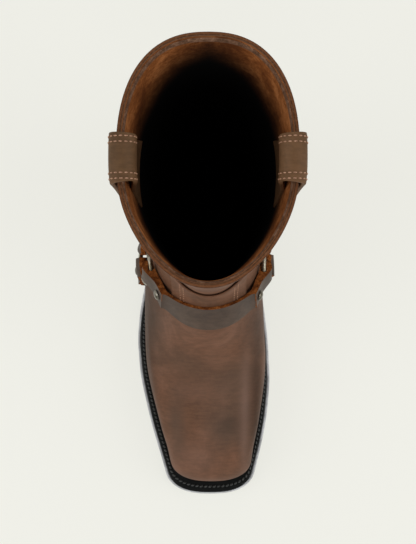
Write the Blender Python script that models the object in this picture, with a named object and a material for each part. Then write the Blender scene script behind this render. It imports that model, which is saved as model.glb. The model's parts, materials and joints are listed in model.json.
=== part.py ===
"""Right-foot harness boot on a square-toe last, pull-on shaft, three-way ring harness.

Lengths are in millimetres until a mesh is made. While the pieces are worked out, y is 0 at the back
of the heel and runs negative towards the toe, +x is the inner (medial) side and z is up from the
floor. At the end the whole boot is moved so that its origin is under the middle of its box.
"""

import math
from bisect import bisect_right

import bmesh
import bpy
from mathutils import Matrix, Vector

MM = 0.001

# Sole and heel
SOLE_LENGTH = 308.0
SOLE_WIDTH = 112.0
HEEL_HEIGHT = 38.0
HEEL_LENGTH = 76.0
LIFT_THICKNESS = 6.0
OUTSOLE_THICKNESS = 5.5
WELT_THICKNESS = 4.0
INSOLE_PROUD = 2.2
TOE_SPRING = 10.0
OUTSOLE_STEP = 2.2
EDGE_ROUND = 1.6
HEEL_TAPER = 0.07
BREAST_RAKE = 4.0

# Tread of the forefoot
GROOVE_COUNT = 7
GROOVE_WIDTH = 2.4
GROOVE_DEPTH = 1.4
GROOVE_PITCH = 10.5

# Upper
COLLAR_HEIGHT = 305.0
COLLAR_LENGTH = 139.0
COLLAR_WIDTH = 100.0
THROAT_HEIGHT = 144.0
WALL = 2.8

# Overlays on the upper
COUNTER_LENGTH = 94.0
COUNTER_RISE = 36.0
COUNTER_END = 5.0
COUNTER_THICKNESS = 1.6
COUNTER_FOOT = 2.4
PAD_WIDTH = 56.0
PAD_BOTTOM = 118.0
PAD_TOP = 158.0
PAD_THICKNESS = 1.7

# Harness straps
STRAP_THICKNESS = 2.4
STRAP_END_WIDTH = 15.0
INSTEP_STRAP_WIDTH = 25.0
INSTEP_STRAP_HEIGHT = 128.0
HEEL_STRAP_WIDTH = 19.0
HEEL_STRAP_HEIGHT = 105.0
SIDE_STRAP_WIDTH = 19.0
SIDE_STRAP_SLANT = 6.0
STRAP_FOOT = 1.2

# Rings, and the folds of the straps round their wire. The angles are degrees above straight forward.
RING_OUTER = 32.0
RING_WIRE = 4.2
RING_HEIGHT = 98.0
RING_FROM_HEEL = 111.0
RING_STAND = 5.8
INSTEP_ANGLE = 27.0
HEEL_ANGLE = 172.0
SIDE_ANGLE = -84.0
FOLD_LAP = 23.0
FOLD_RUN = 13.0
FOLD_SHOULDER = 3.0
LAP_END_RUN = 1.2
RIVET_RADIUS = 4.4
RIVET_RISE = 2.2
RIVET_FROM_WIRE = 16.5

# Pull straps
PULL_WIDTH = 27.0
PULL_FOOT_WIDTH = 44.0
PULL_THICKNESS = 2.6
PULL_SPAN = 15.4
PULL_RISE = 13.0
PULL_DEPTH = 72.0

# Clearances
GAP = 0.3
LAY_GAP = 0.8
WIRE_CLEARANCE = 0.35

# How finely the pieces are cut
ROUND_POINTS = 52
RIDGE_STEPS = 19
RISE_WEIGHT = 1.8
SHAFT_STEPS = (0.06, 0.14, 0.26, 0.44, 0.7, 1.0)
HEEL_POINTS = 28
HEEL_LEVELS = 4
COUNTER_LEVELS = 6
STRAP_STEP = 7.0
STRAP_ROWS = 5
PULL_ROWS = 7
PULL_ARCH_STEPS = 7

# Outline of the sole: share of its length from the heel, then the half-width and the swing of the
# centre line towards the inner side, as shares of half the sole's width.
SOLE_OUTLINE = (
    # share, half, swing
    (0.00, 0.645, 0.000),
    (0.12, 0.658, 0.000),
    (0.24, 0.706, -0.038),
    (0.36, 0.790, -0.070),
    (0.43, 0.880, -0.085),
    (0.50, 0.956, -0.091),
    (0.585, 1.000, -0.080),
    (0.66, 0.996, -0.050),
    (0.74, 0.946, -0.016),
    (0.81, 0.877, 0.007),
    (0.875, 0.784, 0.023),
    (0.926, 0.702, 0.030),
    (1.00, 0.664, 0.032),
)
HEEL_ROUND = 0.114
HEEL_POWER = 2.2
TOE_ROUND = 0.078
TOE_POWER = 2.6

# Where along a level ring of the upper its widths are given, as shares from the back
RING_SHARES = (0.12, 0.38, 0.62, 0.82, 0.93)
RING_SWING = (0.0, -0.068, -0.036, 0.018, 0.045)

# Level rings of the foot: rise is the share of the way from the feather line to the throat, front is
# the ring's front end and back_round and toe_round are the lengths of its round ends, as shares of
# the sole's length. The widths are shares of half the sole's width, and swing says how much of
# RING_SWING the ring has.
FOOT_RINGS = (
    # rise, front, heel, waist, ball, fore, toe, back_round, toe_round, toe_power, swing
    (0.000, 0.9545, 0.550, 0.700, 0.880, 0.735, 0.577, 0.107, 0.081, 2.60, 1.00),
    (0.075, 0.9630, 0.600, 0.778, 0.911, 0.754, 0.595, 0.114, 0.084, 2.60, 1.00),
    (0.164, 0.9595, 0.625, 0.832, 0.905, 0.746, 0.589, 0.117, 0.104, 2.50, 1.00),
    (0.239, 0.9370, 0.625, 0.826, 0.880, 0.741, 0.607, 0.120, 0.156, 2.30, 0.95),
    (0.299, 0.8945, 0.616, 0.805, 0.852, 0.777, 0.661, 0.123, 0.253, 2.15, 0.90),
    (0.358, 0.8180, 0.607, 0.780, 0.825, 0.804, 0.714, 0.127, 0.341, 2.10, 0.85),
    (0.485, 0.6705, 0.598, 0.720, 0.765, 0.770, 0.750, 0.133, 0.286, 2.10, 0.75),
    (0.650, 0.5715, 0.607, 0.690, 0.700, 0.675, 0.630, 0.153, 0.227, 2.10, 0.55),
    (0.836, 0.4950, 0.643, 0.696, 0.696, 0.661, 0.607, 0.179, 0.201, 2.05, 0.35),
    (1.000, 0.4415, 0.688, 0.723, 0.714, 0.679, 0.625, 0.195, 0.195, 2.00, 0.25),
)

# Level rings of the shaft: rise is the share of the way from the throat to the collar, lean the share
# of the way from the throat's front to the collar's front, the widths are shares of half the
# collar's width, and round is the length of both round ends as a share of the collar's length.
SHAFT_RINGS = (
    # rise, lean, heel, waist, ball, fore, toe, round, swing
    (0.15, 0.485, 0.820, 0.870, 0.860, 0.800, 0.740, 0.453, 0.15),
    (0.40, 0.650, 0.900, 0.940, 0.920, 0.860, 0.800, 0.475, 0.05),
    (0.72, 0.850, 0.960, 0.986, 0.980, 0.930, 0.880, 0.482, 0.00),
    (1.00, 1.000, 1.000, 1.000, 1.000, 0.970, 0.940, 0.489, 0.00),
)
BACK_POWER = 2.4

# Back of the boot: rise is the share of the way from the heel seat to the collar, back the place of
# the surface as a share of the sole's length, behind the sole's back end when positive.
BACK_PROFILE = (
    # rise, back
    (0.000, -0.0155),
    (0.040, -0.0055),
    (0.085, 0.0000),
    (0.155, -0.0049),
    (0.233, -0.0146),
    (0.300, -0.0172),
    (0.377, -0.0123),
    (0.474, -0.0016),
    (0.610, 0.0130),
    (0.786, 0.0292),
    (1.000, 0.0432),
)

# Underside of the sole: the tread lies flat on the floor between these shares of its length, and the
# shank comes down to it from just past the heel.
TREAD_BACK = 0.59
TREAD_FRONT = 0.765
SEAT_PAST_HEEL = 8.0

# Share of the way round over which the sole reaches out from the feather line at its two ends
END_REACH = 0.3

FEATHER = OUTSOLE_THICKNESS + WELT_THICKNESS + 2 * GAP
FOLD_RADIUS = RING_WIRE / 2 + WIRE_CLEARANCE + STRAP_THICKNESS - 0.2


def column(rows, index):
    return [row[index] for row in rows]


def ease(start, end, value):
    """Rise smoothly from 0 at start to 1 at end."""
    share = min(max((value - start) / (end - start), 0.0), 1.0)
    return share * share * (3 - 2 * share)


def mix(low, high, share):
    return low + (high - low) * share


def through(xs, ys):
    """A smooth function through the points, with no overshoot between them."""
    steps = [b - a for a, b in zip(xs, xs[1:])]
    rises = [(b - a) / step for a, b, step in zip(ys, ys[1:], steps)]
    slopes = [rises[0]]
    for left, right in zip(rises, rises[1:]):
        slopes.append(2 * left * right / (left + right) if left * right > 0 else 0.0)
    slopes.append(rises[-1])

    def value(x):
        x = min(max(x, xs[0]), xs[-1])
        i = min(max(bisect_right(xs, x) - 1, 0), len(steps) - 1)
        t = (x - xs[i]) / steps[i]
        lead = (slopes[i] * (1 - t) - slopes[i + 1] * t) * steps[i] * t * (1 - t)
        return mix(ys[i], ys[i + 1], ease(0, 1, t)) + lead

    return value


def solve(function, target, low, high):
    """Where the rising function reaches the target, by halving."""
    for _ in range(34):
        middle = (low + high) / 2
        if function(middle) < target:
            low = middle
        else:
            high = middle
    return (low + high) / 2


def round_end(distance, length, power):
    """Share of the full width that an outline has at a distance from its round end."""
    left = 1 - min(max(distance / length, 0.0), 1.0)
    return (1 - left ** power) ** (1 / power)


# The sole

sole_half = through(column(SOLE_OUTLINE, 0), column(SOLE_OUTLINE, 1))
sole_swing = through(column(SOLE_OUTLINE, 0), column(SOLE_OUTLINE, 2))


def under_sole(y):
    """Height of the outsole's underside at a place along the boot."""
    shank = HEEL_HEIGHT * (1 - ease(HEEL_LENGTH + SEAT_PAST_HEEL, TREAD_BACK * SOLE_LENGTH, -y))
    past = max(-y / SOLE_LENGTH - TREAD_FRONT, 0.0) / (1 - TREAD_FRONT)
    return shank + TOE_SPRING * past ** 2


def seat(y):
    """Height of the feather line, where the upper meets the welt."""
    return under_sole(y) + FEATHER


def sole_point(turn):
    """Point of the outsole's outline, going round from the heel over the inner side.

    Between the ends it has the upper's own places along the boot, so that the faces of the stacked
    pieces run side by side.
    """
    passed = (1 - math.cos(turn)) / 2
    feather_back, feather_front = BACK_PROFILE[0][1], -FOOT_RINGS[0][1]
    back_reach = -feather_back * ease(END_REACH, 0.0, passed)
    toe_reach = (-1 - feather_front) * ease(1 - END_REACH, 1.0, passed)
    y = SOLE_LENGTH * (mix(feather_back, feather_front, passed) + back_reach + toe_reach)
    share = -y / SOLE_LENGTH
    ends = round_end(-y, HEEL_ROUND * SOLE_LENGTH, HEEL_POWER)
    ends *= round_end(SOLE_LENGTH + y, TOE_ROUND * SOLE_LENGTH, TOE_POWER)
    side = 1 if math.sin(turn) >= 0 else -1
    half_width = SOLE_WIDTH / 2
    x = half_width * (sole_swing(share) + side * sole_half(share) * ends)
    return Vector((x, y, 0.0))


def turns(count=ROUND_POINTS):
    return [(k + 0.5) * 2 * math.pi / count for k in range(count)]


def inset(points, distance):
    """The closed outline moved inwards, seen from above."""
    moved = []
    for k, point in enumerate(points):
        along = points[(k + 1) % len(points)] - points[k - 1]
        inwards = Vector((along.y, -along.x, 0.0)).normalized()
        moved.append(point + inwards * distance)
    return moved


def on_sole(points, lift):
    """The outline laid on the curved underside of the sole, a distance above it."""
    return [Vector((p.x, p.y, under_sole(p.y) + lift)) for p in points]


# The upper

seat_back = seat(0.0)
back_profile = through(
    [mix(seat_back, COLLAR_HEIGHT, rise) for rise in column(BACK_PROFILE, 0)],
    [back * SOLE_LENGTH for back in column(BACK_PROFILE, 1)],
)
COLLAR_FRONT = BACK_PROFILE[-1][1] * SOLE_LENGTH - COLLAR_LENGTH
THROAT_FRONT = -FOOT_RINGS[-1][1] * SOLE_LENGTH


def ring_rows():
    """All level rings from the feather line to the collar, in millimetres."""
    rows = []
    for rise, front, *widths, back_round, toe_round, power, swing in FOOT_RINGS:
        row = [mix(FEATHER, THROAT_HEIGHT, rise), -front * SOLE_LENGTH]
        row += [width * SOLE_WIDTH / 2 for width in widths]
        row += [back_round * SOLE_LENGTH, toe_round * SOLE_LENGTH, power, swing]
        rows.append(row)
    for rise, lean, *widths, both_rounds, swing in SHAFT_RINGS:
        row = [mix(THROAT_HEIGHT, COLLAR_HEIGHT, rise), mix(THROAT_FRONT, COLLAR_FRONT, lean)]
        row += [width * COLLAR_WIDTH / 2 for width in widths]
        row += [both_rounds * COLLAR_LENGTH, both_rounds * COLLAR_LENGTH, 2.0, swing]
        rows.append(row)
    return rows


RINGS = ring_rows()
ring_values = [through(column(RINGS, 0), column(RINGS, k)) for k in range(1, len(RINGS[0]))]
swing_along = through(RING_SHARES, RING_SWING)


def level(y, height):
    """Height above the floor of a ring that follows the sole below and is level further up."""
    settled = 1 - ease(FEATHER, THROAT_HEIGHT, height)
    return height + (seat(y) - FEATHER) * settled


def ring_at(height):
    """What a level ring needs: its two ends, width along it, round ends and swing."""
    front, *rest = [value(height) for value in ring_values]
    back = back_profile(level(0.0, height))
    return front, back, through(RING_SHARES, rest[:5]), rest[5:]


ring_cache = {}


def last_point(height, turn):
    """Point of the upper's outer face: a ring's height, and the turn round it from the heel."""
    if height not in ring_cache:
        ring_cache[height] = ring_at(height)
    front, back, width, (back_round, toe_round, power, swing) = ring_cache[height]
    share = (1 - math.cos(turn)) / 2
    y = mix(back, front, share)
    ends = round_end(back - y, back_round, BACK_POWER) * round_end(y - front, toe_round, power)
    side = 1 if math.sin(turn) >= 0 else -1
    x = SOLE_WIDTH / 2 * swing * swing_along(share) + side * width(share) * ends
    return Vector((x, y, level(y, height)))


def outwards(height, turn):
    """Unit normal of the upper's outer face."""
    low, high = max(height - 0.6, FEATHER), min(height + 0.6, COLLAR_HEIGHT)
    up = last_point(high, turn) - last_point(low, turn)
    round_about = last_point(height, turn + 0.03) - last_point(height, turn - 0.03)
    return up.cross(round_about).normalized()


def height_at(z, turn):
    """The ring whose height above the floor is z at this turn."""
    return solve(lambda height: last_point(height, turn).z, z, FEATHER, COLLAR_HEIGHT)


def off_ring(height, turn, lift):
    """Point a distance off the upper's outer face, at one of its rings."""
    return last_point(height, turn) + outwards(height, turn) * lift


def on_upper(z, turn, lift):
    """Point a distance off the upper's outer face, at a height above the floor."""
    return off_ring(height_at(z, turn), turn, lift)


def turn_at(y, z, side):
    """The turn at which the upper passes a place along the boot, on the inner (1) or outer (-1) side."""
    height = solve(lambda value: level(y, value), z, FEATHER, COLLAR_HEIGHT)
    front, back = ring_at(height)[:2]
    share = min(max((back - y) / (back - front), 0.0), 1.0)
    return math.acos(1 - 2 * share) * side


def nearest_turn(point):
    """The turn of the upper's outer face that a point close to it belongs to."""
    height = solve(lambda value: level(point.y, value), point.z, FEATHER, COLLAR_HEIGHT)
    front, back, width, _ = ring_at(height)
    along = 1 - 2 * (back - point.y) / (back - front)
    return math.atan2(point.x / width(0.5), along)


# Making meshes

boot = bpy.data.collections.new("harness_boot")
cutters = bpy.data.collections.new("cutters")


def clear_scene():
    for old in list(bpy.data.objects):
        bpy.data.objects.remove(old, do_unlink=True)
    bpy.context.scene.collection.children.link(boot)
    bpy.context.scene.collection.children.link(cutters)


def material(name, colour, roughness, metallic=0.0):
    made = bpy.data.materials.new(name)
    made.use_nodes = True
    shader = made.node_tree.nodes["Principled BSDF"]
    shader.inputs["Base Color"].default_value = (*colour, 1.0)
    shader.inputs["Roughness"].default_value = roughness
    shader.inputs["Metallic"].default_value = metallic
    return made


def add_object(name, mesh_data, finish, collection=boot):
    made = bpy.data.objects.new(name, mesh_data)
    made.data.materials.append(finish)
    collection.objects.link(made)
    return made


def skin(name, loops, finish, closed_path=False):
    """A solid over a row of closed loops. The ends are capped unless the path closes on itself."""
    mesh_data = bpy.data.meshes.new(name)
    shell = bmesh.new()
    rows = [[shell.verts.new(point * MM) for point in loop] for loop in loops]
    count = len(loops[0])
    pairs = list(zip(rows, rows[1:]))
    if closed_path:
        pairs.append((rows[-1], rows[0]))
    for low, high in pairs:
        for k in range(count):
            after = (k + 1) % count
            shell.faces.new((low[k], low[after], high[after], high[k]))
    if not closed_path:
        for row, flip in ((rows[0], True), (rows[-1], False)):
            for k in range(count // 2 - 1):
                cap = (row[k], row[k + 1], row[count - 2 - k], row[count - 1 - k])
                shell.faces.new(cap[::-1] if flip else cap)
    bmesh.ops.recalc_face_normals(shell, faces=shell.faces)
    shell.to_mesh(mesh_data)
    shell.free()
    mesh_data.shade_smooth()
    mesh_data.set_sharp_from_angle(angle=math.radians(35))
    return add_object(name, mesh_data, finish)


def cut(piece, cutter):
    boolean = piece.modifiers.new("cut_" + cutter.name, "BOOLEAN")
    boolean.operation = "DIFFERENCE"
    boolean.object = cutter


# The sole's pieces


def feather_outline(lift):
    """The upper's outline on the welt: its outer face, or that moved in by the wall."""
    points = [last_point(FEATHER, turn) for turn in turns()]
    return inset([Vector((p.x, p.y, 0.0)) for p in points], -lift)


def make_welt(finish):
    outer = inset([sole_point(turn) for turn in turns()], OUTSOLE_STEP)
    inner = feather_outline(-WALL)
    low = OUTSOLE_THICKNESS + GAP
    high = low + WELT_THICKNESS
    loops = [
        on_sole(inner, low),
        on_sole(outer, low),
        on_sole(outer, high - EDGE_ROUND / 2),
        on_sole(inset(outer, EDGE_ROUND / 2), high),
        on_sole(inner, high),
    ]
    return skin("welt", loops, finish, closed_path=True)


def make_outsole(finish):
    outer = [sole_point(turn) for turn in turns()]
    drawn_in = inset(outer, EDGE_ROUND)
    loops = [
        on_sole(drawn_in, 0.0),
        on_sole(outer, EDGE_ROUND),
        on_sole(outer, OUTSOLE_THICKNESS - EDGE_ROUND),
        on_sole(drawn_in, OUTSOLE_THICKNESS),
    ]
    outsole = skin("outsole", loops, finish)
    cut(outsole, make_groove_cutter(finish))
    return outsole


def make_groove_cutter(finish):
    """Bars across the tread, set out from the middle of its flat stretch."""
    bars = bmesh.new()
    middle = -(TREAD_BACK + TREAD_FRONT) / 2 * SOLE_LENGTH
    for k in range(GROOVE_COUNT):
        y = middle + (k - (GROOVE_COUNT - 1) / 2) * GROOVE_PITCH
        size = Vector((2 * SOLE_WIDTH, GROOVE_WIDTH, 2 * GROOVE_DEPTH)) * MM
        place = Matrix.Translation(Vector((0.0, y, under_sole(y))) * MM)
        bmesh.ops.create_cube(bars, size=1.0, matrix=place @ Matrix.Diagonal((*size, 1.0)))
    mesh_data = bpy.data.meshes.new("groove_cutter")
    bars.to_mesh(mesh_data)
    bars.free()
    return add_cutter("groove_cutter", mesh_data, finish)


def add_cutter(name, mesh_data, finish):
    cutter = add_object(name, mesh_data, finish, cutters)
    cutter.hide_render = True
    cutter.display_type = "WIRE"
    return cutter


def make_insole(finish):
    outline = inset(feather_outline(-WALL), GAP)
    low = OUTSOLE_THICKNESS + GAP
    high = low + WELT_THICKNESS + INSOLE_PROUD
    loops = [
        on_sole(outline, low),
        on_sole(outline, high - EDGE_ROUND / 2),
        on_sole(inset(outline, EDGE_ROUND / 2), high),
    ]
    return skin("insole", loops, finish)


def heel_outline(z):
    """Outline of the heel block at a height: the sole's own, drawn in a little towards the floor."""
    down = 1 - z / HEEL_HEIGHT
    breast = -HEEL_LENGTH + BREAST_RAKE * down
    points = []
    for k in range(HEEL_POINTS):
        around = 2 * k / (HEEL_POINTS - 1) - 1
        y = mix(breast, 0.0, math.cos(around * math.pi / 2))
        share = -y / SOLE_LENGTH
        ends = round_end(-y, HEEL_ROUND * SOLE_LENGTH, HEEL_POWER)
        side = -1 if around < 0 else 1
        reach = (1 - HEEL_TAPER * down) * sole_half(share) * ends * side
        x = SOLE_WIDTH / 2 * (sole_swing(share) + reach)
        points.append(Vector((x, y - HEEL_TAPER * down * (y - breast), z)))
    return points


def make_heel(stack_finish, lift_finish):
    top = HEEL_HEIGHT - GAP
    base = LIFT_THICKNESS + GAP
    stack = [heel_outline(mix(base, top, k / (HEEL_LEVELS - 1))) for k in range(HEEL_LEVELS)]
    skin("heel_stack", stack, stack_finish)
    lift = [heel_outline(0.0), heel_outline(LIFT_THICKNESS)]
    skin("top_lift", lift, lift_finish)


# The upper's solid


def upper_heights():
    """Ring heights: even steps along the ridge of the foot, then the shaft's own steps."""
    fine = 400
    heights = [mix(FEATHER, THROAT_HEIGHT, k / fine) for k in range(fine + 1)]
    walked = [0.0]
    for low, high in zip(heights, heights[1:]):
        forward = ring_values[0](high) - ring_values[0](low)
        walked.append(walked[-1] + math.hypot(forward, RISE_WEIGHT * (high - low)))
    foot = []
    for step in range(RIDGE_STEPS):
        target = walked[-1] * step / (RIDGE_STEPS - 1)
        foot.append(heights[min(bisect_right(walked, target), fine)])
    foot[0] = FEATHER
    shaft = [mix(THROAT_HEIGHT, COLLAR_HEIGHT, share) for share in SHAFT_STEPS]
    return foot + shaft


def make_upper(finish):
    heights = upper_heights()
    outer = [[last_point(height, turn) for turn in turns()] for height in heights]
    inner = []
    for height, loop in zip(heights, outer):
        moved = []
        for point, turn in zip(loop, turns()):
            within = point - outwards(height, turn) * WALL
            if height in (heights[0], heights[-1]):
                within.z = point.z
            moved.append(within)
        inner.append(moved)
    inner[0] = [Vector((p.x, p.y, seat(p.y))) for p in feather_outline(-WALL)]
    return skin("upper", outer + inner[::-1], finish, closed_path=True)


# Overlays


def patch(name, columns, inner_lift, outer_lift, finish):
    """A thin solid on the upper over columns of (ring height, turn)."""
    loops = []
    for line in columns:
        inner = [off_ring(height, turn, inner_lift) for height, turn in line]
        outer = [off_ring(height, turn, outer_lift) for height, turn in line]
        loops.append(inner + outer[::-1])
    return skin(name, loops, finish)


def upper_turns(start, stop):
    """The start, the upper's own turns between, and the stop."""
    step = 2 * math.pi / ROUND_POINTS
    first = math.ceil(start / step - 0.5 + 0.2)
    last = math.floor(stop / step - 0.5 - 0.2)
    return [start] + [(k + 0.5) * step for k in range(first, last + 1)] + [stop]


def make_counter(finish):
    """The heel counter: highest at the back, running down to the welt on both sides."""
    end_turn = turn_at(-COUNTER_LENGTH, seat(-COUNTER_LENGTH) + COUNTER_END, 1)
    low = FEATHER + COUNTER_FOOT
    columns = []
    for turn in upper_turns(-end_turn, end_turn):
        y = last_point(low, turn).y
        reach = max(1 - (y / COUNTER_LENGTH) ** 2, 0.0)
        top = height_at(seat(y) + COUNTER_END + COUNTER_RISE * reach, turn)
        steps = [part / (COUNTER_LEVELS - 1) for part in range(COUNTER_LEVELS)]
        columns.append([(mix(low, top, step), turn) for step in steps])
    return patch("heel_counter", columns, LAY_GAP, LAY_GAP + COUNTER_THICKNESS, finish)


def make_pad(finish):
    """The pad under the instep strap, standing up in front of the shaft."""
    middle = (PAD_BOTTOM + PAD_TOP) / 2
    spread = PAD_WIDTH / 2 / front_radius(middle)
    spare = (PAD_TOP - PAD_BOTTOM) / 20
    rings = [height for height in upper_heights() if PAD_BOTTOM + spare < height < PAD_TOP - spare]
    heights = [PAD_BOTTOM] + rings + [PAD_TOP]
    columns = [[(height, turn) for height in heights]
               for turn in upper_turns(math.pi - spread, math.pi + spread)]
    return patch("instep_pad", columns, LAY_GAP, LAY_GAP + PAD_THICKNESS, finish)


def front_radius(height):
    """Length of a radian of turn at the front of a ring."""
    step = 0.4
    return (last_point(height, math.pi - step) - last_point(height, math.pi)).length / step


# The harness


class Ring:
    """A ring lying against the ankle, its plane turned with the upper there."""

    def __init__(self, side):
        self.side = side
        self.turn = turn_at(-RING_FROM_HEEL, RING_HEIGHT, side)
        height = height_at(RING_HEIGHT, self.turn)
        self.normal = outwards(height, self.turn)
        self.centre = last_point(height, self.turn) + self.normal * RING_STAND
        self.radius = (RING_OUTER - RING_WIRE) / 2
        self.up = (Vector((0, 0, 1)) - self.normal * self.normal.z).normalized()
        self.forward = self.up.cross(self.normal).normalized()
        if self.forward.y > 0:
            self.forward.negate()

    def wire_at(self, angle):
        """Middle of the wire, by its angle in degrees above straight forward."""
        turned = math.radians(angle)
        return self.centre + self.radius * (self.forward * math.cos(turned) + self.up * math.sin(turned))

    def torus(self, name, wire_radius, finish, collection):
        bpy.ops.mesh.primitive_torus_add(
            major_segments=26, minor_segments=6, major_radius=self.radius * MM, minor_radius=wire_radius * MM
        )
        made = bpy.context.object
        made.name = name
        for holder in list(made.users_collection):
            holder.objects.unlink(made)
        collection.objects.link(made)
        made.data.materials.append(finish)
        made.data.shade_smooth()
        spin = Matrix((self.forward, self.up, self.forward.cross(self.up))).transposed().to_4x4()
        made.data.transform(Matrix.Translation(self.centre * MM) @ spin)
        return made


class Fold:
    """Where a strap goes round a ring's wire and is riveted back on itself."""

    def __init__(self, ring, angle):
        self.ring = ring
        self.wire = ring.wire_at(angle)
        self.turn = nearest_turn(self.wire)
        height = height_at(self.wire.z, self.turn)
        self.normal = outwards(height, self.turn)
        self.stand = (self.wire - last_point(height, self.turn)).dot(self.normal)

    def lifts(self, distance, lay):
        """Inner and outer lift of the strap at a distance from the wire, on an upper layer lay."""
        if distance <= 0:
            half = math.sqrt(max(FOLD_RADIUS ** 2 - distance ** 2, (STRAP_THICKNESS / 4) ** 2))
            return self.stand - half, self.stand + half
        down = ease(0.0, FOLD_RUN, distance)
        double = ease(FOLD_LAP + LAP_END_RUN, FOLD_LAP, distance)
        inner = mix(self.stand - FOLD_RADIUS, lay, down)
        thick = STRAP_THICKNESS * (1 + double)
        return inner, mix(self.stand + FOLD_RADIUS, lay + thick, down)


def over_welt(place, lift):
    """Point off the upper's face nearest to a place, slid up the face where it would meet the welt."""
    z = max(place.z, seat(place.y) + STRAP_FOOT)
    turn = nearest_turn(Vector((place.x, place.y, z)))
    for _ in range(3):
        point = on_upper(z, turn, lift)
        z += max(seat(point.y) + STRAP_FOOT - point.z, 0.0)
    return on_upper(z, turn, lift)


def lay_strap(name, line, widths, lay, folds, finish):
    """A strap over the upper along a line of (z, turn), folded round a ring at its marked ends.

    widths and lay give the full width and the lift of its inner face by the share of the way.
    """
    fine = 160
    samples = []
    for k in range(fine + 1):
        z, turn = line(k / fine)
        samples.append(on_upper(z, turn, 0.0))
    walked = [0.0]
    for here, there in zip(samples, samples[1:]):
        walked.append(walked[-1] + (there - here).length)
    total = walked[-1]
    share_at = through(walked, [k / fine for k in range(fine + 1)])

    lap_end = FOLD_LAP + LAP_END_RUN
    fold_marks = [FOLD_RADIUS * share for share in (-1.0, -0.85, -0.5, 0.0)]
    fold_marks += [FOLD_SHOULDER, (FOLD_SHOULDER + FOLD_RUN) / 2, FOLD_RUN]
    fold_marks += [(FOLD_RUN + FOLD_LAP) / 2, FOLD_LAP, lap_end]
    marks = set(fold_marks if folds[0] else [0.0])
    marks.update([total - mark for mark in fold_marks] if folds[1] else [total])
    start = lap_end if folds[0] else 0.0
    stop = total - lap_end if folds[1] else total
    runs = max(int((stop - start) / STRAP_STEP), 2)
    marks.update(mix(start, stop, k / runs) for k in range(1, runs))

    loops = []
    for mark in sorted(marks):
        share = share_at(min(max(mark, 0.0), total))
        z, turn = line(share)
        middle = on_upper(z, turn, 0.0)
        ahead = on_upper(*line(min(share + 0.01, 1.0)), 0.0)
        behind = on_upper(*line(max(share - 0.01, 0.0)), 0.0)
        along = (ahead - behind).normalized()
        height = height_at(z, turn)
        side_way = outwards(height, turn).cross(along).normalized()
        middle = middle + along * (mark - min(max(mark, 0.0), total))

        inner_lift = lay(share)
        outer_lift = inner_lift + STRAP_THICKNESS
        pull = 0.0
        for fold, distance, sign in ((folds[0], mark, -1), (folds[1], total - mark, 1)):
            if fold and distance <= lap_end:
                inner_lift, outer_lift = fold.lifts(distance, lay(share))
                pull = sign * (1 - ease(FOLD_SHOULDER, FOLD_RUN, distance))

        inner, outer = [], []
        for k in range(STRAP_ROWS):
            aside = (k / (STRAP_ROWS - 1) - 0.5) * widths(share)
            sag = pull * aside ** 2 / (RING_OUTER - RING_WIRE)
            place = middle + side_way * aside + along * sag
            inner.append(over_welt(place, inner_lift))
            outer.append(over_welt(place, outer_lift))
        loops.append(inner + outer[::-1])
    return skin(name, loops, finish)


def add_rivet(name, point, normal, finish):
    """A flat-based dome standing on a strap."""
    dome = bmesh.new()
    bmesh.ops.create_uvsphere(dome, u_segments=10, v_segments=6, radius=RIVET_RADIUS * MM)
    plane = bmesh.ops.bisect_plane(
        dome, geom=dome.verts[:] + dome.edges[:] + dome.faces[:], plane_co=(0, 0, 0), plane_no=(0, 0, -1),
        clear_outer=True,
    )
    rim = [edge for edge in plane["geom_cut"] if isinstance(edge, bmesh.types.BMEdge)]
    bmesh.ops.edgeloop_fill(dome, edges=rim)
    bmesh.ops.scale(dome, vec=(1, 1, RIVET_RISE / RIVET_RADIUS), verts=dome.verts)
    turn = normal.to_track_quat("Z", "Y").to_matrix().to_4x4()
    bmesh.ops.transform(dome, matrix=Matrix.Translation(point * MM) @ turn, verts=dome.verts)
    bmesh.ops.recalc_face_normals(dome, faces=dome.faces)
    mesh_data = bpy.data.meshes.new(name)
    dome.to_mesh(mesh_data)
    dome.free()
    mesh_data.shade_smooth()
    mesh_data.set_sharp_from_angle(angle=math.radians(40))
    return add_object(name, mesh_data, finish)


def strap_rivet(name, line, fold, lay, finish, from_start=True):
    """Rivet on the doubled end of a strap, square to the strap's outer face there."""
    fine = 200
    places, walked = [], [0.0]
    for k in range(fine // 2 + 1):
        share = k / fine if from_start else 1 - k / fine
        places.append((share, on_upper(*line(share), 0.0)))
        if k:
            walked.append(walked[-1] + (places[-1][1] - places[-2][1]).length)

    def outer_face(distance):
        share, point = places[bisect_right(walked, distance)]
        z, turn = line(share)
        normal = outwards(height_at(z, turn), turn)
        return point + normal * fold.lifts(distance, lay(share))[1], normal

    near = outer_face(RIVET_FROM_WIRE - RIVET_RADIUS)[0]
    far = outer_face(RIVET_FROM_WIRE + RIVET_RADIUS)[0]
    middle, normal = outer_face(RIVET_FROM_WIRE)
    along = (far - near).normalized()
    square = (normal - along * normal.dot(along)).normalized()
    highest = max((point - middle).dot(square) for point in (near, middle, far))
    return add_rivet(name, middle + square * (highest + LAY_GAP), square, finish)


def make_harness(leather, metal):
    rings = {"medial": Ring(1), "lateral": Ring(-1)}
    seats = {}
    for name, ring in rings.items():
        ring.torus("ring_" + name, RING_WIRE / 2, metal, boot)
        seats[name] = ring.torus("wire_seat_" + name, RING_WIRE / 2 + WIRE_CLEARANCE, metal, cutters)
        seats[name].hide_render = True
        seats[name].display_type = "WIRE"

    make_instep_strap(rings, seats, leather, metal)
    make_heel_strap(rings, seats, leather, metal)
    for name, ring in rings.items():
        make_side_strap(name, ring, seats[name], leather, metal)


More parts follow.
